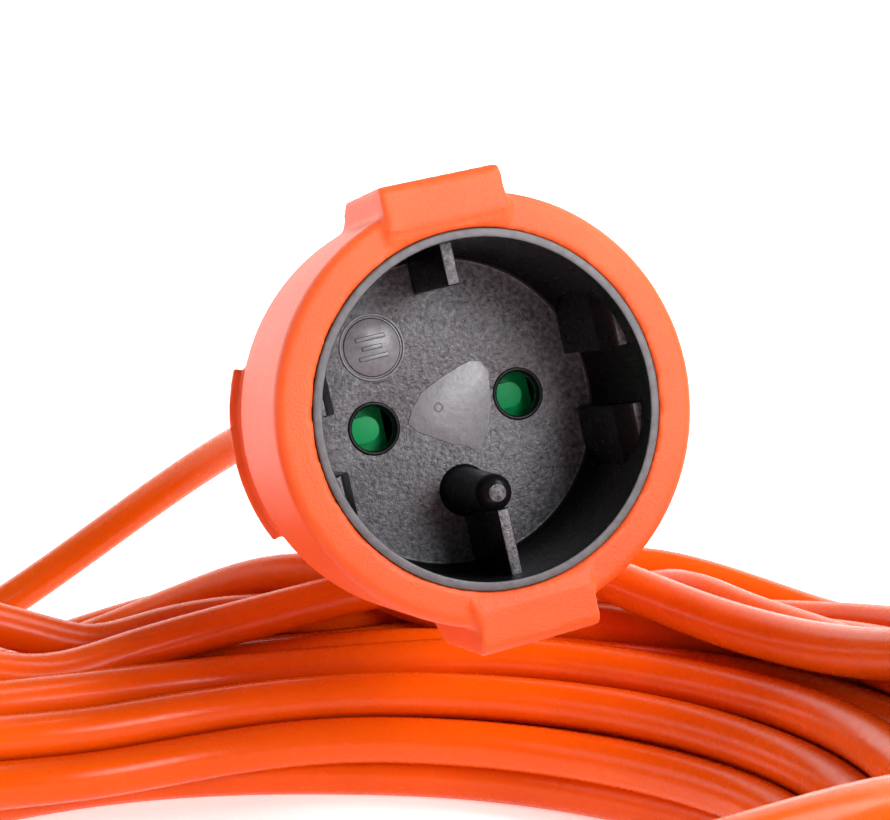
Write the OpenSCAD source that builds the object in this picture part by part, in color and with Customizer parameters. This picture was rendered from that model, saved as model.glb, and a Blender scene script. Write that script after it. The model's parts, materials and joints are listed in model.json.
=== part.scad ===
// Garden extension cord: an orange two-core lead wound in a coil, with a shuttered
// in-line socket and a two-pin plug resting on top of the coil.
// Millimetres, Z up. The origin is on the floor, in the middle of the coil's section,
// straight below the socket's axis.

/* [Socket] */
// Outer diameter of the socket's collar
collar_d = 50.4; // [49:0.2:54]
// Length of the straight collar
collar_l = 20; // [17:0.5:24]
// Length of the moulded socket body
body_l = 76; // [72:1:90]
// Width of the top and bottom lugs
lug_w = 14.8; // [12:0.2:18]
// Distance from the socket's axis to the top of a lug
lug_r = 27.4; // [26:0.2:30]
// Inner diameter of the recess
recess_d = 39.5; // [39:0.1:40]
// Depth of the recess
recess_depth = 17.6; // [16:0.1:18]
// Wall of the recess rim
rim_wall = 1.1; // [0.9:0.1:1.4]
// Distance between the two pin holes
pin_pitch = 19; // [18.8:0.1:19.2]
// Diameter of a pin hole
pin_hole_d = 5.6; // [5.2:0.1:6]

/* [Shutter] */
// Travel of the shutter from closed to open
shutter_travel = 5.8; // [5.8:0.1:6]
// Running gap around the shutter
shutter_gap = 0.15; // [0.1:0.05:0.3]

/* [Cable] */
// Outer diameter of the cable
cable_d = 6.2; // [5.8:0.1:6.6]
// Diameter of the coil at the middle of its turns
coil_d = 160; // [154:2:166]
// Width of the wound section
coil_w = 44; // [36:1:48]
// Height of the wound section
coil_h = 30; // [26:1:30]

/* [Plug] */
// Diameter of a plug pin
pin_d = 4.8; // [4.7:0.05:4.9]
// Length of the plug pins outside the plug's face
pin_l = 19; // [18:0.5:20]
// Width of the plug across its pins
plug_w = 36; // [34:0.5:37]
// Thickness of the plug between its flat sides
plug_t = 27; // [25:0.5:28]
// Length of the plug's body
plug_l = 44; // [40:1:48]

/* [Placement] */
// Height of the socket's face centre above the floor
socket_height = 56; // [54:1:60]
// Tilt of the socket's axis above level
socket_tilt = 4.5; // [0:0.5:8]
// Roll of the socket about its own axis
socket_roll = 12; // [0:1:20]

/* [Hidden] */
$fn = 96;

ORANGE = "#ff6a2b";
CABLE_ORANGE = "#f0600f";
BLACK = "#26282b";
GREEN = "#0c9a57";
BRASS = "#c9a54a";
NICKEL = "#c4c5c2";
BROWN = "#6b3f22";
BLUE = "#2456a8";

eps = 0.01;
fit = 0.05;
cable_r = cable_d / 2;
bore_r = cable_r + fit;
hole_x = pin_pitch / 2;

// Levels along the socket's axis, with the face at 0 and the cable end negative
recess_r = recess_d / 2;
insert_r = recess_r + rim_wall;
floor_z = -recess_depth;
floor_wall = 2;
mouth_l = 2.5;
draft = 0.5;
insert_back = -27;
ring_back = floor_z - floor_wall;
core_back = -45;
cover_back = -47;
core_r = 17.25;
cone_top_z = -collar_l - 6;
cone_top_r = collar_d / 2 - 1.1;
cone_foot_z = -59;
cone_foot_r = 17.4;
pad_front = -23.5;
pad_span = 50;
wire_top = -50.2;
wire_end = -66;
relief_l = 28;
socket_face = [0, -64, socket_height];

// Shutter, in the socket's own axes
shutter_half_h = 5;
shutter_left = -hole_x - 3.1;
shutter_right = hole_x + 2.9;
slot_left = -hole_x + 2.3;
slot_l = 6.2;
slot_half_h = 3.1;
ramp_top = ring_back - shutter_gap;
plate_top = ramp_top - 1.9;
plate_back = plate_top - 2.6;
spring_r = 0.95;
spring_y = -3.95;
spring_z = plate_back - 1.15;
spring_x0 = shutter_left - shutter_travel;
spring_x1 = -3.2;
spring_turns = 9;
spring_wire_r = 0.2;

// Coil: its centre on the floor, and the angles of its two ties
coil_centre = [-26, -76];
coil_r = coil_d / 2;
tie_angles = [225, 270];
tie_w = 16;
tie_t = 1.8;
waist_w = coil_w - 8;
waist_h = coil_h - 4;

// Plug: the centre of its face and the length of its cable sleeve
plug_face = [-98, -102.5, coil_h + plug_t / 2];
plug_relief_l = 28;
plug_nose = 15;
bridge_depth = 9;
shank_r = pin_d / 2 - 0.2;

// Route of the lead behind the socket's sleeve, down to the floor and round to the coil
LEAD_ROUTE = [[-1, 51, 46.5], [-4, 60, 43.5], [-11, 68, 38], [-21, 73, 30], [-33, 75, 21],
              [-46, 73, 12.5], [-58, 68, 6.5], [-70, 60, 3.8], [-81, 49, 3.4], [-90, 36, 3.2],
              [-98, 22, 3.2], [-105, 8, 3.2], [-110, -5, 3.2], [-112, -16, 3.4],
              [-111, -26, 3.8]];

// Route of the tail from the top of the coil to the plug's sleeve
TAIL_ROUTE = [[-64, 2, 27], [-72, -1, 28.5], [-79.5, -4.5, 31], [-86, -9, 34.5],
              [-91.5, -14.5, 38.5], [-95.5, -20.5, 41.8], [-97.6, -26.5, 43.3]];

// Points of an arc, for outlines
function arc(centre, r, from, to, steps) =
    [for (i = [0:steps]) let (a = from + (to - from) * i / steps)
        centre + r * [cos(a), sin(a)]];

// A point given in the socket's axes, in the frame of the whole part
function on_socket(p) =
    let (x = p[0] * cos(socket_roll) - p[1] * sin(socket_roll),
         y = p[0] * sin(socket_roll) + p[1] * cos(socket_roll),
         a = 90 - socket_tilt)
    socket_face + [x, y * cos(a) - p[2] * sin(a), y * sin(a) + p[2] * cos(a)];

function unit(v) = v / norm(v);

// Ring of points round a route at point i, square to its direction there
function route_ring(route, i, r, sides) =
    let (last = len(route) - 1,
         along = unit(route[min(i + 1, last)] - route[max(i - 1, 0)]),
         side = unit(cross(along, [0, 0, 1])),
         up = cross(side, along))
    [for (k = [0:sides - 1]) let (a = 360 * k / sides)
        route[i] + r * (cos(a) * side + sin(a) * up)];

// A round tube swept along a route
module tube(route, r, sides = 10) {
    n = len(route);
    points = [for (i = [0:n - 1]) each route_ring(route, i, r, sides)];
    walls = [for (i = [0:n - 2], k = [0:sides - 1])
        let (a = i * sides + k, b = i * sides + (k + 1) % sides)
        each [[a, a + sides, b + sides], [a, b + sides, b]]];
    first_cap = [for (k = [0:sides - 1]) k];
    last_cap = [for (k = [sides - 1:-1:0]) (n - 1) * sides + k];
    polyhedron(points = points, faces = concat([first_cap], walls, [last_cap]), convexity = 6);
}

// Places children drawn in the socket's axes: X along the pin holes, Z out of the face
module in_socket() {
    translate(socket_face) rotate([90 - socket_tilt, 0, 0]) rotate([0, 0, socket_roll])
        children();
}

// Places children drawn in the plug's axes: X across the pins, Z along them
module in_plug() {
    translate(plug_face) rotate([90, 0, 0]) children();
}

// Cylinder along Z from one level down to another
module rod(r, from_z, to_z) {
    translate([0, 0, to_z]) cylinder(r = r, h = from_z - to_z);
}

// Insulated core from a contact's tail to the end of the cable
module core_wire(from, to, r = 1.3) {
    span = to - from;
    length = norm(span);
    lean = acos(span[2] / length);
    turn = atan2(span[1], span[0]);
    translate(from) rotate([0, lean, turn]) cylinder(r = r, h = length);
}

// Tapered sleeve with cooling-fin grooves, its thick end at Z 0 and its thin end below
module strain_relief(length, thick_r, thin_r) {
    groove = 0.8;
    pitch = length / 8;
    function sleeve_r(z) = thick_r + (thin_r - thick_r) * (-z / length);
    difference() {
        rotate_extrude()
            polygon([[bore_r, 0], [thick_r, 0], [thin_r, -length + 1],
                     [thin_r - 0.6, -length], [bore_r, -length]]);
        for (i = [1:6]) {
            z = -pitch * (i + 0.3);
            translate([0, 0, z - 0.7])
                difference() {
                    cylinder(r = thick_r + 2, h = 1.4);
                    translate([0, 0, -eps]) cylinder(r = sleeve_r(z) - groove, h = 1.4 + 2 * eps);
                }
        }
    }
}

module body_outline() {
    back = -body_l;
    half = collar_d / 2;
    polygon(concat(
        [[0, 0]],
        arc([half - 1, -1], 1, 90, 0, 4),
        [[half, -collar_l], [cone_top_r, cone_top_z], [cone_foot_r, cone_foot_z]],
        arc([9.4, -60.5], 8, 0, -62, 5),
        [[8.8, -71], [7.6, back], [0, back]]));
}

module lug() {
    half = lug_w / 2;
    translate([-half, 0, 0]) rotate([90, 0, 90])
        linear_extrude(height = lug_w)
            polygon([[22, 0.6], [lug_r - 0.8, 0.6], [lug_r, -0.2], [lug_r, -15.5],
                     [lug_r - 0.5, -16.2], [22, -22.5]]);
}

// Radius of the body's cone at a level behind the collar
function cone_r(z) = cone_top_r + (z - cone_top_z) * (cone_top_r - cone_foot_r)
    / (cone_top_z - cone_foot_z);

// Raised finger pad with ribs across it, on the side of the body
module finger_pad() {
    ribs = [for (i = [0:4]) let (z = pad_front - 4.6 * i)
        each [[cone_r(z) + 1.4, z], [cone_r(z - 3) + 1.4, z - 3], [cone_r(z - 3.4) + 0.3, z - 3.4],
              [cone_r(z - 4.4) + 0.3, z - 4.4]]];
    rotate([0, 0, -pad_span / 2]) rotate_extrude(angle = pad_span)
        polygon(concat([[16, pad_front]], ribs, [[16, pad_front - 22.8]]));
}

module socket_body() {
    color(ORANGE) in_socket() difference() {
        union() {
            rotate_extrude() body_outline();
            lug();
            mirror([0, 1, 0]) lug();
            finger_pad();
            mirror([1, 0, 0]) finger_pad();
        }
        rod(insert_r + fit, 2, insert_back);
        rod(core_r + fit, insert_back + eps, cover_back);
        translate([0, 0, wire_end - 0.4])
            cylinder(r1 = 4, r2 = 13.5, h = cover_back - wire_end + 0.4 + eps);
        rod(bore_r, wire_end, -body_l - 1);
    }
}

// Guide block on the recess wall: a segment of the round recess with a sloped front
module guide_block() {
    intersection() {
        rod(recess_r + rim_wall / 2, 1, ring_back - 1);
        translate([0, 11.4, 0]) rotate([90, 0, 0]) linear_extrude(height = 8)
            polygon([[16.7, floor_z], [recess_r + 2, floor_z],
                     [recess_r + 2, -mouth_l - 0.4], [18.2, -mouth_l - 0.4], [16.7, -5.5]]);
    }
}

module keying_peg() {
    translate([0, -10, floor_z]) rotate_extrude()
        polygon(concat([[0, 0], [2.85, 0]], arc([0, 11], 2.3, 0, 90, 6)));
}

// Ring that lines the recess, with its ribs, guide blocks and keying peg
module socket_insert() {
    color(BLACK) in_socket() {
        rotate_extrude()
            polygon([[recess_r, 0], [insert_r, 0], [insert_r, ring_back],
                     [recess_r - draft, ring_back], [recess_r - draft, floor_z],
                     [recess_r, -mouth_l]]);
        for (mx = [0, 1], my = [0, 1])
            mirror([mx, 0, 0]) mirror([0, my, 0]) guide_block();
        translate([-0.8, 14.8, floor_z]) cube([1.6, 5, 14.5]);
        translate([-0.75, -recess_r, floor_z]) cube([1.5, 7.9, 13.6]);
        keying_peg();
    }
}

// Floor of the recess, with the two pin holes
module insert_face() {
    color(BLACK) in_socket() difference() {
        rod(recess_r - draft - fit, floor_z - eps, ring_back);
        for (side = [-1, 1])
            translate([side * hole_x, 0, 0]) rod(pin_hole_d / 2, floor_z + 1, ring_back - 1);
    }
}

// Block behind the floor, with the trough that the shutter slides in
module shutter_carrier() {
    color(BLACK) in_socket() difference() {
        rod(insert_r, ring_back - fit, insert_back);
        translate([shutter_left - shutter_travel - shutter_gap,
                   -shutter_half_h - shutter_gap, insert_back - 1])
            cube([shutter_right - shutter_left + shutter_travel + 2 * shutter_gap,
                  2 * (shutter_half_h + shutter_gap), ring_back - insert_back + 2]);
    }
}

module insert_core() {
    color(BLACK) in_socket() difference() {
        rod(core_r, insert_back - fit, core_back);
        for (side = [-1, 1])
            translate([side * hole_x, 0, 0]) rod(3.3 + fit, insert_back + 1, core_back - 1);
    }
}

module insert_cover() {
    color(BLACK) in_socket() difference() {
        rod(core_r, core_back - fit, cover_back);
        for (side = [-1, 1])
            translate([side * hole_x, 0, 0]) rod(1.7 + fit, core_back + 1, cover_back - 1);
    }
}

// Sliding plate with a ramp before each pin hole and a slot beside the left one
module shutter() {
    color(GREEN) in_socket() difference() {
        union() {
            translate([shutter_left, -shutter_half_h, plate_back])
                cube([shutter_right - shutter_left, 2 * shutter_half_h, plate_top - plate_back]);
            for (side = [-1, 1])
                translate([side * hole_x - 0.4, 0, plate_top - eps]) {
                    cylinder(r = 1.6, h = ramp_top - plate_top + eps);
                    translate([-2.7, -1.6, 0]) cube([2.7, 3.2, ramp_top - plate_top + eps]);
                }
            translate([spring_x1, spring_y - 1, plate_back - 2.2]) cube([1.5, 2, 2.3]);
        }
        translate([slot_left, -slot_half_h, plate_back - 1])
            cube([slot_l, 2 * slot_half_h, plate_top - plate_back + 2]);
    }
}

// Spring drawn as close rings along its own axis, joined by a thin spine
module shutter_spring() {
    step = (spring_x1 - spring_x0 - 2 * spring_wire_r - 0.1) / spring_turns;
    color(NICKEL) in_socket() translate([spring_x0 + spring_wire_r, spring_y, spring_z])
        rotate([0, 90, 0]) {
            for (i = [0:spring_turns])
                translate([0, 0, i * step]) rotate_extrude($fn = 32)
                    translate([spring_r - spring_wire_r, 0]) circle(r = spring_wire_r, $fn = 16);
            translate([0, spring_r - spring_wire_r, 0])
                cylinder(r = spring_wire_r * 0.8, h = spring_turns * step, $fn = 16);
        }
}

// Sleeve that grips one plug pin, with its crimp tail through the cover
module contact(side) {
    color(BRASS) in_socket() translate([side * hole_x, 0, 0]) {
        difference() {
            rod(3.3, insert_back - 0.2, core_back + 3);
            rod(pin_d / 2 + 0.02, insert_back + 1, core_back + 5);
        }
        rod(1.7, core_back + 3 + eps, wire_top + 0.7);
    }
}

module socket_strain_relief() {
    color(ORANGE) in_socket() translate([0, 0, -body_l - fit])
        strain_relief(relief_l, 6.6, 4.3);
}

module cable_lead() {
    inside = [for (z = [wire_end - 1.6, -body_l - 4, -body_l - 14, -body_l - relief_l])
        on_socket([0, 0, z])];
    color(CABLE_ORANGE) tube(concat(inside, LEAD_ROUTE), cable_r);
}

// Rounded section of the wound coil, measured from the coil's axis
module coil_section() {
    inner = coil_r - coil_w / 2;
    outer = coil_r + coil_w / 2;
    low = 3;
    high = 12;
    polygon(concat(
        arc([inner + low, low], low, 180, 270, 3),
        arc([outer - low, low], low, 270, 360, 3),
        arc([outer - high, coil_h - high], high, 0, 90, 6),
        arc([inner + high, coil_h - high], high, 90, 180, 6)));
}

// Outline of the coil where a tie gathers it, or of the tie itself when grown
module waist(grow) {
    half = waist_w / 2 + grow;
    top = tie_t + waist_h + grow;
    bottom = tie_t - grow;
    corner = 6 + grow;
    polygon(concat(
        arc([-half + corner, bottom + corner], corner, 180, 270, 4),
        arc([half - corner, bottom + corner], corner, 270, 360, 4),
        arc([half - corner, top - corner], corner, 0, 90, 4),
        arc([-half + corner, top - corner], corner, 90, 180, 4)));
}

module at_tie(angle) {
    translate([coil_centre[0], coil_centre[1], 0]) rotate([0, 0, angle])
        translate([coil_r, 0, 0]) rotate([90, 0, 0])
            children();
}

module cable_coil() {
    color(CABLE_ORANGE) difference() {
        translate([coil_centre[0], coil_centre[1], 0]) rotate_extrude($fn = 128) coil_section();
        for (angle = tie_angles)
            at_tie(angle) translate([0, 0, -tie_w / 2 - 0.2])
                linear_extrude(height = tie_w + 0.4) difference() {
                    translate([-coil_w, -1]) square([2 * coil_w, coil_h + 2]);
                    waist(-0.1);
                }
    }
}

module coil_tie(angle) {
    color(BLACK) at_tie(angle) translate([0, 0, -tie_w / 2])
        linear_extrude(height = tie_w) difference() {
            waist(tie_t);
            waist(0);
        }
}

module cable_tail() {
    back = plug_face[1] + plug_l;
    axis = [plug_face[0], 0, plug_face[2]];
    inside = [for (y = [back + plug_relief_l, back + 14, back + 4, back - 10])
        axis + [0, y, 0]];
    color(CABLE_ORANGE) tube(concat(TAIL_ROUTE, inside), cable_r);
}

module plug_strain_relief() {
    color(ORANGE) in_plug() translate([0, 0, -plug_l - fit])
        strain_relief(plug_relief_l, 6.6, 4.3);
}

// Face outline of the plug: flat above and below, with a groove for the guide blocks
// at each side and a notch for a socket's earth pin in each flat
module plug_outline() {
    difference() {
        intersection() {
            circle(r = plug_w / 2);
            square([plug_w + 2, plug_t], center = true);
        }
        for (side = [-1, 1]) {
            translate([side * plug_w / 2, 0]) square([4, 5], center = true);
            translate([0, side * (plug_t / 2 - 0.5)]) circle(r = 3.2);
        }
    }
}

module plug_grip() {
    hull() {
        translate([0, 0, -plug_nose - 1]) linear_extrude(height = 1) intersection() {
            circle(r = plug_w / 2 - 0.6, $fn = 48);
            square([plug_w, plug_t], center = true);
        }
        translate([0, 0, -plug_l + 12]) cylinder(r = 11, h = 1, $fn = 32);
        translate([0, 0, -plug_l]) cylinder(r = 7.6, h = 1, $fn = 32);
    }
}

module bridge_outline(grow) {
    for (side = [-1, 1])
        translate([side * hole_x, 0]) circle(r = 4.6 + grow);
    square([pin_pitch, 2 * (4.6 + grow)], center = true);
}

module plug_body() {
    color(ORANGE) in_plug() difference() {
        union() {
            translate([0, 0, -plug_nose]) linear_extrude(height = plug_nose) plug_outline();
            plug_grip();
        }
        translate([0, 0, -bridge_depth]) linear_extrude(height = bridge_depth + 1)
            bridge_outline(fit);
        translate([0, 0, -25]) linear_extrude(height = 25 - bridge_depth + eps)
            square([24, 8], center = true);
        translate([0, 0, -33.5]) cylinder(r1 = 4.6, r2 = 8, h = 8.5 + eps);
        rod(bore_r, -33, -plug_l - 1);
    }
}

module plug_bridge() {
    color(BLACK) in_plug() difference() {
        translate([0, 0, -bridge_depth + fit]) linear_extrude(height = bridge_depth + 0.4)
            bridge_outline(0);
        for (side = [-1, 1])
            translate([side * hole_x, 0, 0]) rod(shank_r + 0.02, 2, -bridge_depth - 1);
    }
}

module plug_pin(side) {
    color(NICKEL) in_plug() translate([side * hole_x, 0, 0]) {
        rod(pin_d / 2, pin_l - 1.4, 0.5);
        rod(shank_r, 0.5 + eps, -bridge_depth - 2);
        translate([0, 0, pin_l - 1.4 - eps])
            cylinder(r1 = pin_d / 2, r2 = pin_d / 2 - 1, h = 1.4);
        rod(1.7, -bridge_depth - 2 + eps, -bridge_depth - 7);
    }
}

module socket_core(side) {
    in_socket() core_wire([side * hole_x, 0, wire_top], [side * 1.45, 0, wire_end]);
}

module plug_core(side) {
    in_plug() core_wire([side * hole_x, 0, -bridge_depth - 7.8], [side * 1.45, 0, -32.2]);
}

module contact_left() { contact(-1); }
module contact_right() { contact(1); }
module socket_core_brown() { color(BROWN) socket_core(-1); }
module socket_core_blue() { color(BLUE) socket_core(1); }
module coil_tie_1() { coil_tie(tie_angles[0]); }
module coil_tie_2() { coil_tie(tie_angles[1]); }
module plug_pin_left() { plug_pin(-1); }
module plug_pin_right() { plug_pin(1); }
module plug_core_brown() { color(BROWN) plug_core(-1); }
module plug_core_blue() { color(BLUE) plug_core(1); }

socket_body();
socket_insert();
insert_face();
shutter_carrier();
insert_core();
insert_cover();
shutter();
shutter_spring();
contact_left();
contact_right();
socket_core_brown();
socket_core_blue();
socket_strain_relief();
cable_lead();
cable_coil();
coil_tie_1();
coil_tie_2();
cable_tail();
plug_strain_relief();
plug_body();
plug_bridge();
plug_pin_left();
plug_pin_right();
plug_core_brown();
plug_core_blue();
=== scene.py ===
"""Garden extension cord: a coiled orange lead with a shuttered in-line socket and a two-pin plug.

Lengths in this script are millimetres until MM turns them into metres for Blender.
"""
import json
import math

import bmesh
import bpy
import numpy as np
from mathutils import Matrix, Vector


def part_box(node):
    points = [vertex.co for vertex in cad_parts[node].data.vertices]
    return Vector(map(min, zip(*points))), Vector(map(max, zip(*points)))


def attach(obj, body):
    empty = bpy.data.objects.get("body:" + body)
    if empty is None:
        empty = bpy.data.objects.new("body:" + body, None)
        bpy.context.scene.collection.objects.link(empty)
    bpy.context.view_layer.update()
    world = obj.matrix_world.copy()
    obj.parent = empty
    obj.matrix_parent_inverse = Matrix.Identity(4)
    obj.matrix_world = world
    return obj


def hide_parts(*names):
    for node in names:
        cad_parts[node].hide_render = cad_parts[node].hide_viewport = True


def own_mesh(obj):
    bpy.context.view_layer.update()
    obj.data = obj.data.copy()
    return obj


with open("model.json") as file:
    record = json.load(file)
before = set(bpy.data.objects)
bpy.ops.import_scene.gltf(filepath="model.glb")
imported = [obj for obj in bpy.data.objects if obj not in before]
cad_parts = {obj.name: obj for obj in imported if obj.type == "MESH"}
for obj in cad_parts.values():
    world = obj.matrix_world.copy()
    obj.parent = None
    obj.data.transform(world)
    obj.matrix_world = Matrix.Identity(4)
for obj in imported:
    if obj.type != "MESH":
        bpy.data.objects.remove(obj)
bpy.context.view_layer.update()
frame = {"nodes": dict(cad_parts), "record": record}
MM = 0.001
ROOT = "extension_cord"
MOUNTS = {m["name"]: m for m in frame["record"]["mounts"]}

# ---------------------------------------------------------------- driving sizes
CABLE_D = 6.2
CABLE_R = CABLE_D / 2
COIL_W = 44.0               # of the ring that the wound strands fill
BODY_L = 76.0               # socket's body, from its face back to its sleeve
PLUG_L = 44.0               # plug's body, from its face back to its sleeve
RELIEF_L = 28.0             # either sleeve
PIN_X = 9.5                 # each pin hole from the socket's axis
RIM_R = 20.85               # outside of the black rim
RECESS_MOUTH_R = 19.76
FLOOR_Z = -17.6             # recess floor, below the socket's face
COLLAR_R = 25.2

# Points on the lead behind the socket's sleeve, and on the tail up to the plug's sleeve
LEAD_ROUTE = [[-1, 51, 46.5], [-4, 60, 43.5], [-11, 68, 38], [-21, 73, 30], [-33, 75, 21],
              [-46, 73, 12.5], [-58, 68, 6.5], [-70, 60, 3.8], [-81, 49, 3.4], [-90, 36, 3.2],
              [-98, 22, 3.2], [-105, 8, 3.2], [-111, -6, 3.2], [-115, -18, 3.2]]
TAIL_ROUTE = [[-64, 2, 27], [-72, -1, 28.5], [-79.5, -4.5, 31], [-86, -9, 34.5],
              [-91.5, -14.5, 38.5], [-95.5, -20.5, 41.8], [-97.6, -26.5, 43.3]]


def mount_point(name):
    return Vector(MOUNTS[name]["pos_m"]) / MM


def box_mm(node):
    low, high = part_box(node)
    return low / MM, high / MM


def socket_axes():
    """Matrix from the socket's own axes, in mm, to the frame, in mm."""
    out = Vector(MOUNTS["socket_recess"]["axis"]).normalized()
    half_mouth = MOUNTS["socket_recess"]["dims"]["length_mm"] / 2
    face = mount_point("socket_recess") + out * half_mouth
    across = (mount_point("pin_hole_right") - mount_point("pin_hole_left")).normalized()
    up = out.cross(across)
    m = Matrix((across, up, out)).transposed().to_4x4()
    m.translation = face
    return m


def plug_axes():
    """Matrix from the plug's own axes, in mm, to the frame, in mm: Z points along the pins."""
    low, high = box_mm("plug_body")
    m = Matrix(((1, 0, 0), (0, 0, 1), (0, -1, 0))).transposed().to_4x4()
    m.translation = Vector(((low.x + high.x) / 2, low.y, (low.z + high.z) / 2))
    return m


SOCKET = socket_axes()
PLUG = plug_axes()


# ---------------------------------------------------------------- camera
def add_camera():
    """Looks at the recess from the left of its axis and slightly above."""
    aim = SOCKET @ Vector((-5.64, 1.21, 0.9))
    distance, lens, sensor = 224.3, 80.0, 36
    azimuth, elevation = math.radians(16.75), math.radians(3.97)
    view = Vector((math.sin(azimuth) * math.cos(elevation),
                   math.cos(azimuth) * math.cos(elevation), -math.sin(elevation)))
    data = bpy.data.cameras.new("camera")
    data.lens = lens
    data.sensor_width = sensor
    data.clip_start = 0.01
    camera = bpy.data.objects.new("camera", data)
    bpy.context.scene.collection.objects.link(camera)
    camera.location = (aim - view * distance) * MM
    camera.rotation_euler = view.to_track_quat("-Z", "Y").to_euler()
    bpy.context.scene.camera = camera


add_camera()


# ---------------------------------------------------------------- materials
NOISE_LOW, NOISE_HIGH = 0.3, 0.7    # nearly all of a noise pattern lies between these


def new_material(name):
    """A new material, its node tree and its shader."""
    mat = bpy.data.materials.new(name)
    mat.use_nodes = True
    tree = mat.node_tree
    shader = tree.nodes["Principled BSDF"]
    return mat, tree, shader


def set_inputs(node, **values):
    for key, value in values.items():
        node.inputs[key.replace("_", " ")].default_value = value


def object_coords(tree):
    return tree.nodes.new("ShaderNodeTexCoord").outputs["Object"]


def noise(tree, coords, scale, detail=2.0, rough=0.5):
    node = tree.nodes.new("ShaderNodeTexNoise")
    set_inputs(node, Scale=scale, Detail=detail, Roughness=rough)
    tree.links.new(coords, node.inputs["Vector"])
    return node.outputs["Fac"]


def spread(tree, pattern, low, high):
    """Stretches a noise pattern to run from low to high."""
    node = tree.nodes.new("ShaderNodeMapRange")
    set_inputs(node, From_Min=NOISE_LOW, From_Max=NOISE_HIGH, To_Min=low, To_Max=high)
    tree.links.new(pattern, node.inputs["Value"])
    return node.outputs["Result"]


def mix_colour(tree, factor, a, b):
    node = tree.nodes.new("ShaderNodeMix")
    node.data_type = "RGBA"
    node.inputs["A"].default_value = (*a, 1)
    node.inputs["B"].default_value = (*b, 1)
    tree.links.new(factor, node.inputs["Factor"])
    return node.outputs["Result"]


def bump(tree, height, depth, under=None):
    """Relief of a depth in metres, on top of another relief if one is given."""
    node = tree.nodes.new("ShaderNodeBump")
    set_inputs(node, Strength=1.0, Distance=depth)
    tree.links.new(height, node.inputs["Height"])
    if under is not None:
        tree.links.new(under, node.inputs["Normal"])
    return node.outputs["Normal"]


def plastic(name, dark, light, rough, rough_spread, grain, grain_depth, coarse=40,
            coarse_depth=0.0, sub=0.0, shine=0.5):
    """Moulded plastic: two-tone colour variation, uneven gloss and a fine grain.

    grain and coarse are pattern scales per metre, and depths are in metres.
    sub is the share of light that scatters below the surface.
    """
    mat, tree, shader = new_material(name)
    coords = object_coords(tree)
    patches = noise(tree, coords, coarse, 3.0)
    fine = noise(tree, coords, grain, 3.0, 0.6)
    colour = mix_colour(tree, spread(tree, patches, 0, 1), dark, light)
    tree.links.new(colour, shader.inputs["Base Color"])
    gloss = spread(tree, fine, rough - rough_spread, rough + rough_spread)
    tree.links.new(gloss, shader.inputs["Roughness"])
    normal = bump(tree, fine, grain_depth)
    if coarse_depth:
        normal = bump(tree, patches, coarse_depth, normal)
    tree.links.new(normal, shader.inputs["Normal"])
    set_inputs(shader, IOR=1.46, Specular_IOR_Level=shine, Subsurface_Weight=sub,
               Subsurface_Radius=(1.0, 0.35, 0.1), Subsurface_Scale=0.0012)
    return mat


def metal(name, colour, rough):
    """Drawn or plated metal with faint wear marks."""
    mat, tree, shader = new_material(name)
    fine = noise(tree, object_coords(tree), 3000)
    tree.links.new(spread(tree, fine, rough * 0.7, rough * 1.3), shader.inputs["Roughness"])
    tree.links.new(bump(tree, fine, 2e-6), shader.inputs["Normal"])
    set_inputs(shader, Base_Color=(*colour, 1), Metallic=1.0)
    return mat


HOUSING = plastic("housing_orange", (0.74, 0.088, 0.012), (0.82, 0.108, 0.019), 0.46, 0.06,
                  3200, 5.0e-5, coarse=60, sub=0.04, shine=0.38)
SHEATH = plastic("cable_orange", (0.68, 0.084, 0.001), (0.80, 0.104, 0.002), 0.26, 0.04,
                 700, 0.8e-5, coarse=55, coarse_depth=5e-5, sub=0.02, shine=0.27)
BLACK = plastic("insert_black", (0.004, 0.004, 0.005), (0.007, 0.007, 0.008), 0.30, 0.05,
                1500, 1.2e-5, shine=0.16)
# Grey of the rim's front lip: the rim is black plastic, and this grey is painted sheen for the
# light its face catches
RIM_PAINTED_SHEEN = plastic("insert_rim_painted_sheen", (0.080, 0.077, 0.085), (0.125, 0.121, 0.132), 0.45, 0.08,
              2400, 3.5e-5, coarse=900)
# Grey of the recess floor and of the lining's faces that look out: the spark grain is real, and
# the lightness, far above the lining's black, is painted light from the front lamps
SPARKED_AND_LIT = plastic("insert_spark_texture_painted_light", (0.036, 0.034, 0.040), (0.160, 0.153, 0.172), 0.36,
                  0.16, 2300, 1.4e-4, coarse=1700, coarse_depth=6e-5)
# Grey of the smooth patch and of the rating disc's faces that look out: the smooth finish is
# real, and the lightness over the black plastic is painted light
POLISHED_AND_LIT = plastic("insert_smooth_patch_painted_light", (0.150, 0.144, 0.162), (0.205, 0.196, 0.220), 0.30,
                   0.06, 1800, 2.5e-5, coarse=1200)
GREEN = plastic("shutter_green", (0.0, 0.26, 0.075), (0.001, 0.32, 0.095), 0.42, 0.05,
                1500, 1e-5, sub=0.03, shine=0.14)
BRASS = metal("contact_brass", (0.80, 0.60, 0.28), 0.25)
STEEL = metal("spring_steel", (0.62, 0.62, 0.63), 0.22)
NICKEL = metal("pin_nickel", (0.78, 0.77, 0.74), 0.16)
BROWN = plastic("core_brown", (0.10, 0.040, 0.018), (0.14, 0.055, 0.025), 0.35, 0.05, 1500, 1e-5)
BLUE = plastic("core_blue", (0.016, 0.10, 0.38), (0.02, 0.13, 0.45), 0.35, 0.05, 1500, 1e-5)


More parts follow.
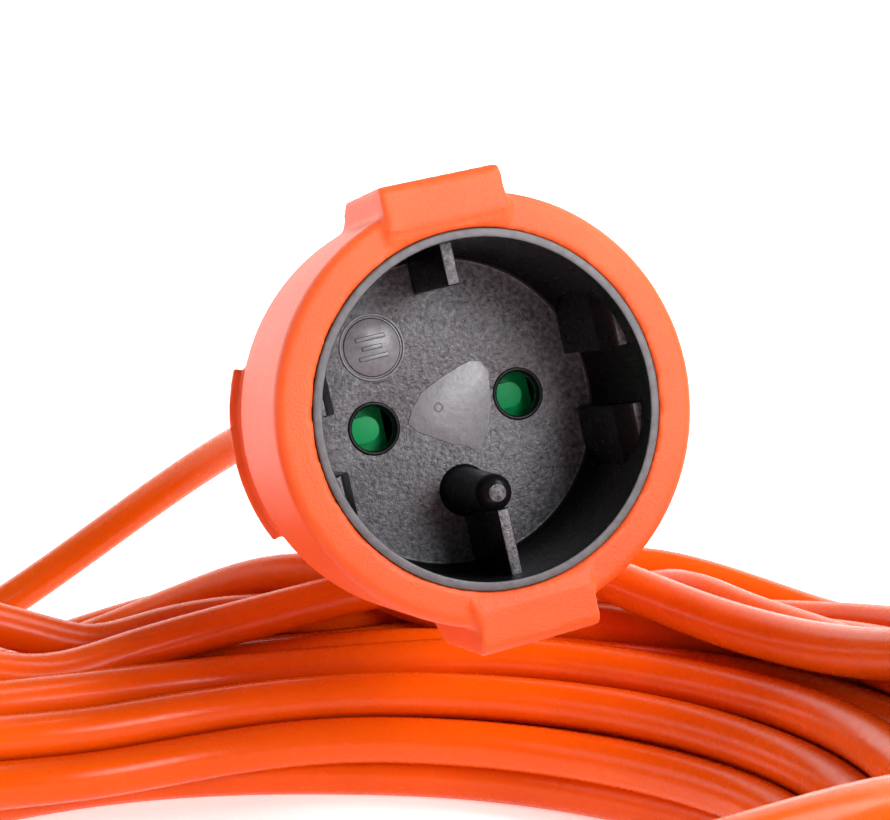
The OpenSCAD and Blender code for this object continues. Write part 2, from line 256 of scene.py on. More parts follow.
def woven_tape(name):
    """Hook-and-loop tape: matt, with rows of small loops and a fine fluff on them."""
    mat, tree, shader = new_material(name)
    coords = object_coords(tree)
    loops = tree.nodes.new("ShaderNodeTexVoronoi")
    set_inputs(loops, Scale=1500)
    tree.links.new(coords, loops.inputs["Vector"])
    fluff = noise(tree, coords, 5000, 3.0)
    tree.links.new(mix_colour(tree, loops.outputs["Distance"], (0.012, 0.012, 0.014),
                              (0.004, 0.004, 0.005)), shader.inputs["Base Color"])
    normal = bump(tree, loops.outputs["Distance"], 2.5e-4)
    tree.links.new(bump(tree, fluff, 6e-5, normal), shader.inputs["Normal"])
    set_inputs(shader, Roughness=0.85, Sheen_Weight=0.08, Sheen_Roughness=0.5)
    return mat


TAPE = woven_tape("tie_tape")


def dress(node, material):
    """Gives a piece that stays as its CAD node its finish."""
    data = frame["nodes"][node].data
    data.materials.clear()
    data.materials.append(material)


# ---------------------------------------------------------------- the cord's route
def smooth_step(t):
    t = np.clip(t, 0, 1)
    return t * t * (3 - 2 * t)


coil_low, coil_high = box_mm("cable_coil")
COIL_CENTRE = np.array([(coil_low.x + coil_high.x) / 2, (coil_low.y + coil_high.y) / 2])
COIL_R = (coil_high.x - coil_low.x - COIL_W) / 2

ROWS = [7, 7, 6, 5, 4]      # strands in each layer of the coil, from the floor up
OUTWARD_ROWS = (1, 3, 4)    # layers wound from the inside out
STRAND_GAP = 6.38           # between strands in a layer
ROW_RISE = 5.5              # between layers
PASSES = sum(ROWS) + 1      # turns, and the part turn that the tail leaves from
LAST = PASSES - 1
STATIONS = 120              # points on each turn
STEP = 360 / STATIONS
LEAVE = -30                 # angle at which a pass begins
SHIFT_FROM, SHIFT_TO = 180, 330   # where each turn moves over to the next place
SWAY = 2.2                  # how far a strand wanders sideways
START_STATION = 49          # where the lead joins the coil
END_STATION = 39            # where the tail leaves it
START_ANGLE = START_STATION * STEP
END_ANGLE = END_STATION * STEP
LEAD_JOIN = (106.2, 3.2)    # radius and height of the lead and of the tail there
TAIL_LEAVE = (86.8, 27.0)
TIE_ANGLES = (225, 270)
TIE_W = 16.0
TIE_T = 1.4

# How the section changes round the coil: angle, width factor, height factor, outward shift.
# It is piled up under the socket and lies flatter to the left of it.
SECTION = np.array([[-30, 1.00, 1.00, 0], [10, 1.00, 1.00, 0], [28, 1.06, 0.94, 1],
                    [45, 0.98, 1.02, 0], [62, 0.96, 1.06, 1], [78, 1.15, 0.88, 5],
                    [98, 1.52, 0.52, 11], [110, 1.52, 0.52, 11], [138, 1.12, 0.88, 4],
                    [158, 1.0, 1.0, 0], [330, 1.00, 1.00, 0]])

# Top of the pile where the radius is PILE_R: angle, height. It slopes up towards the inside.
PILE_TOP = np.array([[-30, 44], [-10, 40], [10, 29.5], [25, 25], [44, 31.8], [62, 33],
                     [80, 30], [92, 20.5], [103, 14.5], [110, 15], [132, 32], [150, 44],
                     [330, 44]])
PILE_SLOPE = 0.16
PILE_R = 100

# The last whole turns lie loosely across the others, up to LOOSE_TO: angle, radius, height
LOOSE = [
    [[-30, 72, 26], [15, 76, 28], [45, 78, 31], [68, 82, 31], [84, 96, 25], [101, 117, 13],
     [116, 118, 7], [135, 108, 9], [160, 94, 22], [180, 84, 27], [330, 72, 27]],
    [[-30, 78, 26], [10, 88, 26], [35, 84, 29], [60, 76, 32], [80, 84, 28], [100, 103, 14],
     [118, 106, 13], [140, 99, 20], [165, 88, 27], [330, 78, 27]],
    [[-30, 84, 26], [0, 64, 21], [14, 62, 23], [32, 66, 28], [55, 78, 33], [75, 88, 32],
     [95, 94, 17], [115, 94, 16], [145, 86, 26], [330, 84, 27]],
    [[-30, 88, 27], [8, 93, 22], [28, 92, 26], [48, 82, 33], [66, 70, 32], [84, 71, 25],
     [104, 75, 19], [125, 80, 23], [150, 84, 28], [330, 88, 28]],
]
LOOSE_TO = 200
FIRST_LOOSE = LAST - len(LOOSE)
EASE = 60                   # degrees over which a strand goes from one course to another

# Height of the tail's part turn over the pile: angle, height
TAIL_RISE = np.array([[-30, 31], [30, 31], [62, 33], [84, 27], [98, 18.5], [108, 21.5],
                      [117, TAIL_LEAVE[1]]])
TAIL_DRAWN_FROM = 40        # angle from which it is drawn out to where it leaves
TAIL_FREE = 101             # angle from which it may rise above the pile

# How the strands settle, in small steps
SETTLE_STEPS = 420
STIFFNESS = (0.6, 0.4)      # shares of a bend taken out, one after the other
HOLD, HOLD_LOOSE = 0.03, 0.02   # pull towards the course that a strand was given
SINK = 0.06                 # fall in one step
CONTACT_PASSES = 3
CONTACT_PUSH = 0.42         # share of an overlap taken out in a pass
CONTACT_D = CABLE_D * 1.015
MAX_PUSH = 3                # from the pile's top or the socket, in one pass


def coil_slots():
    """(radius, height) of each strand in the coil's section, in winding order."""
    slots = []
    for row, count in enumerate(ROWS):
        places = range(count) if row in OUTWARD_ROWS else range(count - 1, -1, -1)
        slots += [(COIL_R + (k - (count - 1) / 2) * STRAND_GAP, CABLE_R + row * ROW_RISE)
                  for k in places]
    return np.array(slots + [(COIL_R + 6, CABLE_R + len(ROWS) * ROW_RISE)])


def wound_turns(theta):
    """Radius and height of every pass at every station, as wound, before it settles."""
    slots = coil_slots()
    width, height, shift = [np.interp(theta, SECTION[:, 0], SECTION[:, c]) for c in (1, 2, 3)]
    waves = np.random.default_rng(11).uniform(-1, 1, (PASSES + 1, 4))
    move = smooth_step((theta - SHIFT_FROM) / (SHIFT_TO - SHIFT_FROM))
    a = np.radians(theta)
    X = np.zeros((PASSES, STATIONS, 2))
    for p in range(PASSES):
        here = slots[p]
        after = slots[min(p + 1, LAST)]
        R = here[0] + (after[0] - here[0]) * move
        z = here[1] + (after[1] - here[1]) * move
        sway = (waves[p, 0] * np.sin(2 * a + 6 * waves[p, 1])
                + waves[p, 2] * np.sin(3 * a + 6 * waves[p, 3]))
        X[p, :, 0] = COIL_R + (R - COIL_R) * width + shift + SWAY * sway
        X[p, :, 1] = CABLE_R + (z - CABLE_R) * height
    # the lead joins from outside
    lead_in = smooth_step((theta - START_ANGLE) / EASE)
    X[0, :, 0] += (LEAD_JOIN[0] - slots[0][0]) * (1 - lead_in) * (theta > START_ANGLE - STEP)
    return X


def loosen(X, theta):
    """Lays the last turns across the others. Returns the course each strand is given."""
    target = X.copy()
    free = 1 - smooth_step((theta - LOOSE_TO) / EASE)
    for k, route in enumerate(LOOSE):
        keys = np.array(route, float)
        p = FIRST_LOOSE + k
        for c in (0, 1):
            wanted = np.interp(theta, keys[:, 0], keys[:, 1 + c])
            target[p, :, c] += free * (wanted - target[p, :, c])
        # these turns start above each other and drop onto the pile
        X[p, :, 0] = target[p, :, 0]
        X[p, :, 1] = target[p, :, 1] + free * (4 + 3 * k)
    target[LAST, :, 1] = np.interp(theta, TAIL_RISE[:, 0], TAIL_RISE[:, 1])
    drawn = smooth_step((theta - TAIL_DRAWN_FROM) / (END_ANGLE - 50))
    target[LAST, :, 0] += drawn * (TAIL_LEAVE[0] - target[LAST, :, 0])
    X[LAST] = target[LAST]
    X[LAST, :, 1] += 8 * (1 - drawn)
    return target


def settle(X, target, exists, path, theta):
    """Lets the strands straighten, sink and push each other apart, in place."""
    pair = exists[:, None, :] & exists[None, :, :]
    pair[np.arange(PASSES), np.arange(PASSES)] = False
    floor = CABLE_R + sum((TIE_T + 0.3) * (1 - smooth_step((abs(theta - t) - 7) / 14))
                          for t in TIE_ANGLES)
    top = np.interp(theta, PILE_TOP[:, 0], PILE_TOP[:, 1]) - CABLE_R
    capped = np.ones((PASSES, STATIONS))
    capped[LAST] = theta < TAIL_FREE
    hold = np.full((PASSES, 1, 1), HOLD)
    hold[FIRST_LOOSE:] = HOLD_LOOSE
    a = np.radians(theta)
    inverse = np.array(SOCKET.inverted())
    for step in range(SETTLE_STEPS):
        late = step / SETTLE_STEPS
        flat = X[path[:, 0], path[:, 1]]
        for share in STIFFNESS:
            lap = np.zeros_like(flat)
            lap[1:-1] = (flat[:-2] + flat[2:]) / 2 - flat[1:-1]
            flat = flat + share * lap
        X[path[:, 0], path[:, 1]] = flat
        X += hold * (1 - 0.8 * late) * (target - X)
        X[:, :, 1] -= SINK * (1 - 0.5 * late)
        for _ in range(CONTACT_PASSES):
            d = X[:, None] - X[None]
            length = np.sqrt((d ** 2).sum(-1)) + 1e-9
            over = np.where(pair, np.clip(CONTACT_D - length, 0, None), 0)
            X += (CONTACT_PUSH * (over / length)[..., None] * d).sum(1)
            high = X[:, :, 1] - (top + PILE_SLOPE * (PILE_R - X[:, :, 0]))
            X[:, :, 1] -= 0.8 * capped * np.clip(high, 0, MAX_PUSH)
            X[:, :, 1] = np.maximum(X[:, :, 1], floor)
            clear_socket(X, a, inverse)
        X[0, START_STATION] = LEAD_JOIN
        X[LAST, END_STATION] = TAIL_LEAVE


def coil_route():
    """Winds the coil, then lets its strands settle on each other. Returns points in mm."""
    # station 0 is at angle 0, and a pass runs from LEAVE to LEAVE + 360
    theta = np.arange(STATIONS) * STEP
    theta = np.where(theta >= 360 + LEAVE, theta - 360, theta)
    exists = np.ones((PASSES, STATIONS), bool)
    exists[0, theta < START_ANGLE] = False
    exists[LAST, theta > END_ANGLE] = False
    path = np.array([(p, k) for p in range(PASSES) for k in np.argsort(theta, kind="stable")
                     if exists[p, k]])
    X = wound_turns(theta)
    target = loosen(X, theta)
    settle(X, target, exists, path, theta)
    R, z = X[path[:, 0], path[:, 1]].T
    a = np.radians(theta)[path[:, 1]]
    return np.stack([COIL_CENTRE[0] + R * np.cos(a), COIL_CENTRE[1] + R * np.sin(a), z], 1)


# Room the socket takes up along its axis: distance from its face, radius
BODY_PROFILE = np.array([[0.5, COLLAR_R], [-20, COLLAR_R], [-26, 24.1], [-59, 17.4],
                         [-66, 13], [-BODY_L, 8], [-BODY_L - RELIEF_L, 5]])


def clear_socket(X, a, inverse):
    """Pushes strands down and out of the socket's body."""
    x = COIL_CENTRE[0] + X[:, :, 0] * np.cos(a)
    y = COIL_CENTRE[1] + X[:, :, 0] * np.sin(a)
    pts = np.stack([x, y, X[:, :, 1], np.ones_like(x)], -1) @ inverse.T
    reach = np.interp(pts[..., 2], BODY_PROFILE[::-1, 0], BODY_PROFILE[::-1, 1])
    near = (pts[..., 2] < 3) & (pts[..., 2] > -BODY_L - RELIEF_L)
    radius = np.hypot(pts[..., 0], pts[..., 1])
    over = np.where(near, np.clip(reach + CABLE_R + 0.1 - radius, 0, MAX_PUSH), 0)
    X[:, :, 1] -= 0.8 * over


def resample(points, spacing):
    """Points evenly spaced along a polyline."""
    points = np.array(points, float)
    s = np.concatenate([[0], np.cumsum(np.linalg.norm(np.diff(points, axis=0), axis=1))])
    count = max(2, int(round(s[-1] / spacing)) + 1)
    t = np.linspace(0, s[-1], count)
    return np.stack([np.interp(t, s, points[:, c]) for c in range(3)], 1)


def rounded(points, passes):
    """Softens a polyline's corners, keeping the two points at each end."""
    points = points.copy()
    for _ in range(passes):
        points[2:-2] += 0.5 * ((points[1:-3] + points[3:-1]) / 2 - points[2:-2])
    return points


def cord_route():
    """Centreline from inside the socket's sleeve to inside the plug's sleeve, in mm."""
    inside = (1, 10, 19, RELIEF_L)      # along a sleeve, from the body it belongs to
    start = [list(SOCKET @ Vector((0, 0, -BODY_L - z))) for z in inside]
    end = [list(PLUG @ Vector((0, 0, -PLUG_L - z))) for z in reversed(inside)]
    lead = resample(start + LEAD_ROUTE, 3.0)
    tail = resample(TAIL_ROUTE + end, 3.0)
    coil = coil_route()
    whole = np.concatenate([rounded(lead, 30)[:-2], coil[1:-1], rounded(tail, 30)[2:]])
    return rounded(resample(whole, 2.6), 6)


def add_cord():
    """The whole cable as one round tube. Returns it and its centreline in mm."""
    points = cord_route()
    length = np.linalg.norm(np.diff(points, axis=0), axis=1).sum() * MM
    print("CORD length", round(length, 3), "points", len(points))
    data = bpy.data.curves.new("cable", "CURVE")
    data.dimensions = "3D"
    data.bevel_depth = CABLE_R * MM
    data.bevel_resolution = 5
    data.use_fill_caps = True
    spline = data.splines.new("POLY")
    spline.points.add(len(points) - 1)
    spline.points.foreach_set("co", np.c_[points * MM, np.ones(len(points))].ravel())
    spline.use_smooth = True
    data.materials.append(SHEATH)
    cable = bpy.data.objects.new("cable", data)
    bpy.context.scene.collection.objects.link(cable)
    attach(cable, ROOT)
    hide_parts("cable_lead", "cable_coil", "cable_tail")
    return cable, points


CABLE, ROUTE = add_cord()


# ---------------------------------------------------------------- mesh helpers
def new_piece(name, mesh, material, slot, *nodes, body=ROOT, front=None):
    """A finished piece of the object, in metres in the frame's axes.

    front is a lighter material for the faces that look out of the recess, with a coarser grain
    than the sides. Its lightness is painted light there, and the dark sides are painted shade.
    """
    mesh.materials.clear()
    mesh.materials.append(material)
    if front:
        mesh.materials.append(front)
        out = SOCKET.to_3x3() @ Vector((0, 0, 1))
        for face in mesh.polygons:
            # faces that look out of the recess get the lighter material as painted light, the
            # rest stay dark as painted shade
            face.material_index = int(face.normal.dot(out) > 0.9)
    obj = bpy.data.objects.new(name, mesh)
    bpy.context.scene.collection.objects.link(obj)
    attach(obj, body)
    if nodes:
        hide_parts(*nodes)
    return obj


def bake(mesh, *modifiers):
    """Applies modifiers to a mesh and returns the result. A modifier is (kind, settings)."""
    obj = bpy.data.objects.new("bake", mesh)
    bpy.context.scene.collection.objects.link(obj)
    for kind, settings in modifiers:
        modifier = obj.modifiers.new(kind, kind)
        for key, value in settings.items():
            setattr(modifier, key, value)
    depsgraph = bpy.context.evaluated_depsgraph_get()
    result = bpy.data.meshes.new_from_object(obj.evaluated_get(depsgraph))
    bpy.data.objects.remove(obj)
    return result


def shade(mesh, angle=None):
    """Smooth shading, with edges sharper than the angle kept sharp."""
    mesh.polygons.foreach_set("use_smooth", [True] * len(mesh.polygons))
    if angle is not None:
        mesh.set_sharp_from_angle(angle=math.radians(angle))
    mesh.update()
    return mesh


def make_mesh(verts, faces, axes=SOCKET):
    """Mesh from points in mm in the given axes, welded, with its faces looking out."""
    mesh = bpy.data.meshes.new("part")
    mesh.from_pydata([tuple((axes @ Vector(v)) * MM) for v in verts], [], faces)
    bm = bmesh.new()
    bm.from_mesh(mesh)
    bmesh.ops.remove_doubles(bm, verts=bm.verts, dist=1e-7)
    bmesh.ops.recalc_face_normals(bm, faces=bm.faces)
    bm.to_mesh(mesh)
    bm.free()
    return mesh


def joined(*meshes):
    """One mesh that holds all the given ones."""
    bm = bmesh.new()
    for mesh in meshes:
        bm.from_mesh(mesh)
    whole = bpy.data.meshes.new("joined")
    bm.to_mesh(whole)
    bm.free()
    return whole


def lathe(profile, centre=(0, 0), segments=160):
    """Turns (radius, z) points round an axis along the socket's Z through the centre."""
    verts, faces = [], []
    n = len(profile)
    for s in range(segments):
        c, d = math.cos(2 * math.pi * s / segments), math.sin(2 * math.pi * s / segments)
        verts += [(centre[0] + r * c, centre[1] + r * d, z) for r, z in profile]
    for s in range(segments):
        a, b = s * n, (s + 1) % segments * n
        faces += [(a + k, b + k, b + k + 1, a + k + 1) for k in range(n - 1)]
    return make_mesh(verts, faces)


def prism(outline, low, high):
    """Extrudes an (x, y) outline in the socket's axes between two heights."""
    n = len(outline)
    verts = [(x, y, low) for x, y in outline] + [(x, y, high) for x, y in outline]
    faces = [tuple(range(n)), tuple(range(n, 2 * n))]
    faces += [(k, (k + 1) % n, n + (k + 1) % n, n + k) for k in range(n)]
    return make_mesh(verts, faces)


def box_mesh(low, high):
    outline = [(low[0], low[1]), (high[0], low[1]), (high[0], high[1]), (low[0], high[1])]
    return prism(outline, low[2], high[2])


def bevelled(mesh, width, angle=32):
    """Rounds the edges of a mesh that are sharper than an angle, by a width in mm."""
    settings = dict(width=width * MM, segments=3, limit_method="ANGLE",
                    angle_limit=math.radians(angle))
    return shade(bake(mesh, ("BEVEL", settings)), 50)


def cad_copy(node, clean=True):
    """A welded copy of a node's mesh. clean joins its flat triangles into whole faces."""
    bm = bmesh.new()
    bm.from_mesh(frame["nodes"][node].data)
    bmesh.ops.remove_doubles(bm, verts=bm.verts, dist=2e-6)
    if clean:
        bmesh.ops.dissolve_limit(bm, angle_limit=math.radians(1), verts=bm.verts,
                                 edges=bm.edges)
    mesh = bpy.data.meshes.new(node + "_copy")
    bm.to_mesh(mesh)
    bm.free()
    return mesh


def moulded(mesh, voxel, passes):
    """Melts joined shapes into one skin with small fillets, as a moulding has."""
    result = bake(mesh, ("REMESH", dict(mode="VOXEL", voxel_size=voxel * MM)),
                  ("SMOOTH", dict(factor=0.5, iterations=passes)))
    return shade(result)


def arc(r, start, end, steps, centre=(0, 0)):
    """Points on an arc, with the angles in degrees."""
    return [(centre[0] + r * math.cos(math.radians(start + (end - start) * k / steps)),
             centre[1] + r * math.sin(math.radians(start + (end - start) * k / steps)))
            for k in range(steps + 1)]


# ---------------------------------------------------------------- socket
def add_housing():
    """The moulded body, with its two lugs running a little proud across the collar's face."""
    half_w, inner, outer = 7.4, 20.95, 26.6
    lugs = [prism([(-half_w, side * inner), (half_w, side * inner), (half_w, side * outer),
                   (-half_w, side * outer)], -1.5, 0.32) for side in (-1, 1)]
    mesh = moulded(joined(cad_copy("socket_body", False), *lugs), 0.36, 4)
    new_piece("housing", mesh, HOUSING, "orange_housing", "socket_body")


def guide_block(mx, my):
    """Segment of the recess wall with a sloped front. mx and my are its signs in x and y."""
    verts, faces = [], []
    xs = [16.7, 17.2, 17.7, 18.2, 18.9, 19.5]
    slope, tops = (16.7, 18.2), (-5.5, -2.9)
    side, wall_r = 3.4, 20.1
    for x in xs:
        top = float(np.interp(x, slope, tops))
        for y in (side, math.sqrt(wall_r ** 2 - x * x)):
            verts += [(mx * x, my * y, FLOOR_Z - 0.3), (mx * x, my * y, top)]
    for k in range(len(xs) - 1):
        a, b = 4 * k, 4 * k + 4
        faces += [(a + 1, a + 3, b + 3, b + 1), (a, a + 2, b + 2, b),
                  (a, a + 1, b + 1, b), (a + 2, a + 3, b + 3, b + 2)]
    faces += [(0, 1, 3, 2), (b, b + 1, b + 3, b + 2)]
    return bevelled(make_mesh(verts, faces), 0.28, angle=20)


def add_insert():
    """Black lining of the recess: rim, wall, ribs, guide blocks and keying peg."""
    corner = RIM_R - 0.25
    wall = lathe([(RIM_R, -19.6), (RIM_R, -0.25)] + arc(0.25, 0, 90, 4, (corner, -0.25))
                 + arc(0.22, 90, 180, 4, (19.99, -0.22)) + [(RECESS_MOUTH_R, -2.5)]
                 + [(19.86, FLOOR_Z + 2.5)] + arc(0.7, 0, -90, 5, (18.56, FLOOR_Z + 0.7)))
    ribs = [bevelled(box_mesh((-0.8, 14.8, FLOOR_Z - 0.3), (0.8, 19.9, -3.1)), 0.25),
            bevelled(box_mesh((-0.75, -20.0, FLOOR_Z - 0.3), (0.75, -11.9, -4.0)), 0.25)]
    peg = lathe([(3.35, FLOOR_Z - 0.1), (3.0, FLOOR_Z + 0.15), (2.8, FLOOR_Z + 0.6)]
                + arc(2.28, 0, 88, 14, (0, -6.6)), centre=(0, -10), segments=64)
    blocks = [guide_block(mx, my) for mx in (-1, 1) for my in (-1, 1)]
    mesh = joined(shade(wall, 50), *ribs, shade(peg, 50), *blocks)
    # the lining's faces that look out of the recess take the lighter spark-textured material as
    # painted light, and the sides stay black as painted shade
    new_piece("insert_lining", mesh, BLACK, "black_insert", "socket_insert", front=SPARKED_AND_LIT)
    # the rim's front lip is a separate grey piece, painted sheen over the black lining beneath it
    face = lathe([(20.82, -0.5), (20.83, -0.22)] + arc(0.25, 0, 90, 4, (corner, -0.22))
                 + arc(0.2, 90, 180, 4, (20.0, -0.17)) + [(19.79, -0.5)])
    new_piece("insert_rim", shade(face, 60), RIM_PAINTED_SHEEN, "black_insert")


def floor_lathe(profile, centre, segments):
    """Turned shape whose heights are measured from the recess floor."""
    return lathe([(r, FLOOR_Z + z) for r, z in profile], centre, segments)


def add_recess_floor():
    """Spark-textured floor with the pin holes, a smooth patch and a round rating disc."""
    face = bevelled(cad_copy("insert_face"), 0.22)
    # the floor's grey is painted light on a face that looks out, over its real spark grain
    new_piece("recess_floor", face, SPARKED_AND_LIT, "black_insert", "insert_face")
    lips = [shade(floor_lathe([(3.35, -0.05), (3.2, 0.10), (2.95, 0.12), (2.78, -0.02),
                               (2.76, -1.0)], (x, 0), 72), 60) for x in (-PIN_X, PIN_X)]
    new_piece("pin_hole_lips", joined(*lips), BLACK, "black_insert")
    outline = [(-5.2, -0.4), (-4.4, 1.1), (-2.7, 2.9), (0, 4.1), (2.7, 5.0), (4.4, 5.4),
               (5.7, 5.0), (6.4, 3.6), (6.1, 1.6), (5.8, -0.6), (4.6, -3.4), (3.6, -5.1),
               (2.5, -5.6), (1.2, -4.6), (-0.4, -4.1), (-2.7, -2.6), (-4.3, -1.6)]
    patch = bevelled(prism(outline, FLOOR_Z - 0.2, FLOOR_Z + 0.10), 0.06)
    pit = shade(floor_lathe([(0.62, 0.08), (0.52, 0.20), (0.40, 0.20), (0.30, 0.05),
                             (0.02, -0.05)], (-0.9, 0.7), 32), 70)
    new_piece("smooth_patch", joined(patch, pit), POLISHED_AND_LIT, "black_insert")
    x, y = -7.5, 9.7
    disc = floor_lathe([(4.15, -0.1), (4.10, 0.16), (3.98, 0.20), (3.86, 0.16), (3.78, 0.02),
                        (3.62, 0.02), (3.50, 0.10), (0.02, 0.10)], (x, y), 96)
    bars = [bevelled(box_mesh((x - w, y + up - 0.28, FLOOR_Z),
                              (x + w, y + up + 0.28, FLOOR_Z + 0.24)), 0.1)
            for w, up in ((1.9, 1.2), (1.3, 0.0), (1.9, -1.2))]
    # the disc's faces that look out take the lighter material as painted light, and its sides
    # stay black as painted shade
    new_piece("rating_disc", shade(joined(disc, *bars), 45), BLACK, "black_insert",
              front=POLISHED_AND_LIT)


def add_shutter():
    mesh = bevelled(cad_copy("shutter"), 0.3)
    new_piece("shutter_slide", mesh, GREEN, "green_shutter", "shutter", body="shutter")


def add_spring():
    """Compression spring beside the shutter's slot, drawn at one length; the real one shortens as
    the shutter opens.
    """
    fixed, free = -18.4, -3.25          # x of its two ends
    low, high = box_mm("shutter_spring")
    middle = SOCKET.inverted() @ ((low + high) / 2)
    r, wire, turns, steps, sides = 0.74, 0.19, 11, 24, 8
    end = turns * steps
    end_share = 0.04                    # of the length, for each closed end turn
    knots = (0, steps, end - steps, end)
    heights = (0, end_share, 1 - end_share, 1)
    verts, faces = [], []
    for k in range(end + 1):
        x = fixed + wire + (free - fixed - 2 * wire) * float(np.interp(k, knots, heights))
        a = 2 * math.pi * k / steps
        for m in range(sides):
            b = 2 * math.pi * m / sides
            rr = r + wire * math.cos(b)
            verts.append((x + wire * math.sin(b), middle.y + rr * math.cos(a),
                          middle.z + rr * math.sin(a)))
    for k in range(end):
        a = k * sides
        faces += [(a + m, a + (m + 1) % sides, a + sides + (m + 1) % sides, a + sides + m)
                  for m in range(sides)]
    faces += [tuple(range(sides)), tuple(range(end * sides, (end + 1) * sides))]
    piece = new_piece("return_spring", shade(make_mesh(verts, faces), 70), STEEL,
                      "spring_steel", "shutter_spring")
    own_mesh(piece)


def add_strain_reliefs():
    return [new_piece(name, moulded(cad_copy(node, False), 0.22, 3), HOUSING,
                      "orange_housing", node)
            for node, name in (("socket_strain_relief", "socket_sleeve"),
                               ("plug_strain_relief", "plug_sleeve"))]


# ---------------------------------------------------------------- plug and ties
def add_plug():
    body = moulded(cad_copy("plug_body", False), 0.36, 5)
    bridge = bevelled(cad_copy("plug_bridge"), 0.25)
    return [new_piece("plug_housing", body, HOUSING, "orange_housing", "plug_body"),
            new_piece("plug_pin_bridge", bridge, BLACK, "black_insert", "plug_bridge")]


def hull_outline(points):
    """Convex outline of a set of 2D points, anticlockwise."""
    points = sorted(map(tuple, points))

    def half(ordered):
        chain = []
        for p in ordered:
            while len(chain) > 1 and ((chain[-1][0] - chain[-2][0]) * (p[1] - chain[-2][1])
                                      - (chain[-1][1] - chain[-2][1])
                                      * (p[0] - chain[-2][0])) <= 0:
                chain.pop()
            chain.append(p)
        return chain[:-1]

    return half(points) + half(points[::-1])


def add_tie(node, angle):
    """Woven tape drawn round the strands that really lie at this place in the coil."""
    t = math.radians(angle)
    out, along = np.array([math.cos(t), math.sin(t)]), np.array([-math.sin(t), math.cos(t)])
    rel = ROUTE[:, :2] - COIL_CENTRE
    near = (abs(rel @ along) < TIE_W / 2 + 1) & (rel @ out > 0)
    # 6.2 radians is nearly a full turn
    disc = [(CABLE_R * math.cos(s), CABLE_R * math.sin(s)) for s in np.linspace(0, 6.2, 20)]
    cloud = [(r + dx, z + dz) for r, z in zip(rel[near] @ out, ROUTE[near][:, 2])
             for dx, dz in disc]
    loop = np.array(hull_outline(cloud))
    loop = resample(np.c_[np.vstack([loop, loop[:1]]), np.zeros(len(loop) + 1)], 1.0)[:-1, :2]
    for _ in range(4):
        loop = 0.5 * loop + 0.25 * (np.roll(loop, 1, 0) + np.roll(loop, -1, 0))
    side = np.roll(loop, -1, 0) - np.roll(loop, 1, 0)
    normal = np.c_[side[:, 1], -side[:, 0]] / np.linalg.norm(side, axis=1)[:, None]
    verts, faces = [], []
    rings = len(loop)
    # the tape's section: height off the strands, and place across it in half widths
    layers = [(0.12, -1), (0.12, -0.97), (0.12, 0.97), (0.25, 1), (TIE_T - 0.15, 1),
              (TIE_T, 0.95), (TIE_T + 0.05, 0.0), (TIE_T, -0.95), (TIE_T - 0.15, -1)]
    for k in range(rings):
        for lift, w in layers:
            p = loop[k] + normal[k] * lift
            xy = COIL_CENTRE + out * p[0] + along * w * TIE_W / 2
            verts.append((xy[0], xy[1], max(p[1], 0.02)))
    n = len(layers)
    for k in range(rings):
        a, b = k * n, (k + 1) % rings * n
        faces += [(a + m, a + (m + 1) % n, b + (m + 1) % n, b + m) for m in range(n)]
    mesh = shade(make_mesh(verts, faces, Matrix.Identity(4)), 60)
    return new_piece(node.replace("coil_tie", "tape_tie"), mesh, TAPE, "black_tie", node)


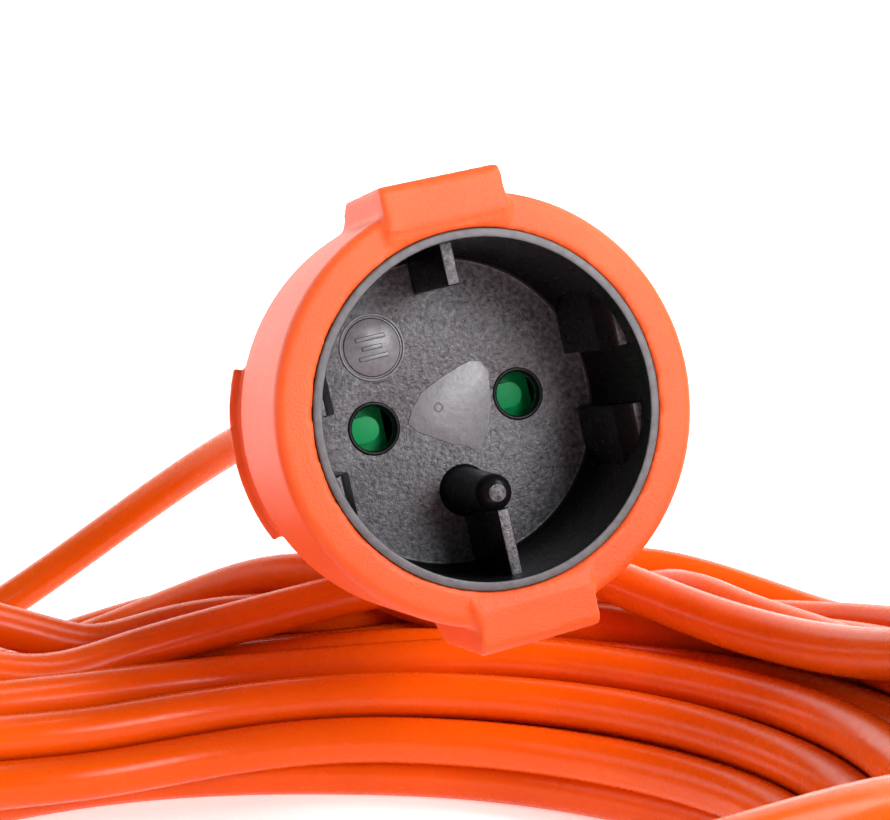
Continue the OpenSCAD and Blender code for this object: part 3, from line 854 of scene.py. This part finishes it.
add_housing()
add_insert()
add_recess_floor()
add_shutter()
add_spring()
on_cord = add_strain_reliefs() + add_plug()
on_cord += [add_tie("coil_tie_1", TIE_ANGLES[0]), add_tie("coil_tie_2", TIE_ANGLES[1])]
for material, nodes in ((BLACK, ("insert_core", "insert_cover", "shutter_carrier")),
                        (BRASS, ("contact_left", "contact_right")),
                        (NICKEL, ("plug_pin_left", "plug_pin_right")),
                        (BROWN, ("socket_core_brown", "plug_core_brown")),
                        (BLUE, ("socket_core_blue", "plug_core_blue"))):
    for node in nodes:
        dress(node, material)


# ---------------------------------------------------------------- stage
def white_material(name, glow):
    mat, _, shader = new_material(name)
    set_inputs(shader, Base_Color=(1, 1, 1, 1), Roughness=1.0, Emission_Color=(1, 1, 1, 1),
               Emission_Strength=glow)
    return mat


def add_stage():
    """White table, and a glowing white sweep round the back of the object, in metres."""
    size, sweep_r, sweep_low, sweep_high = 12.0, 3.0, -0.01, 3.6
    table = bpy.data.meshes.new("table")
    table.from_pydata([(-size, -size, 0), (size, -size, 0), (size, size, 0),
                       (-size, size, 0)], [], [(0, 1, 2, 3)])
    table.materials.append(white_material("table_white", 0.45))
    sweep = bpy.data.meshes.new("sweep")
    ring = arc(sweep_r, -15, 195, 24)
    sweep.from_pydata([(x, y, z) for x, y in ring for z in (sweep_low, sweep_high)], [],
                      [(2 * k, 2 * k + 1, 2 * k + 3, 2 * k + 2) for k in range(len(ring) - 1)])
    sweep.materials.append(white_material("sweep_white", 0.95))
    for name, mesh in (("table", table), ("sweep", sweep)):
        obj = bpy.data.objects.new(name, mesh)
        bpy.context.scene.collection.objects.link(obj)


def add_softbox(name, at, aim, size, power):
    """Square area light at a place in metres, turned to a point."""
    data = bpy.data.lights.new(name, "AREA")
    data.shape = "RECTANGLE"
    data.size, data.size_y = size, size
    data.energy = power
    lamp = bpy.data.objects.new(name, data)
    bpy.context.scene.collection.objects.link(lamp)
    lamp.location = at
    lamp.rotation_euler = (Vector(aim) - Vector(at)).to_track_quat("-Z", "Y").to_euler()


def add_lights():
    world = bpy.data.worlds.new("studio")
    world.use_nodes = True
    set_inputs(world.node_tree.nodes["Background"], Color=(1, 1, 1, 1), Strength=0.18)
    bpy.context.scene.world = world
    add_softbox("front_right", (0.42, -1.0, 0.42), (0, -0.05, 0.05), 0.5, 11)
    add_softbox("top_right", (0.50, -0.30, 0.80), (0, -0.05, 0.04), 0.5, 6)
    bpy.context.scene.view_settings.view_transform = "Standard"


add_stage()
add_lights()
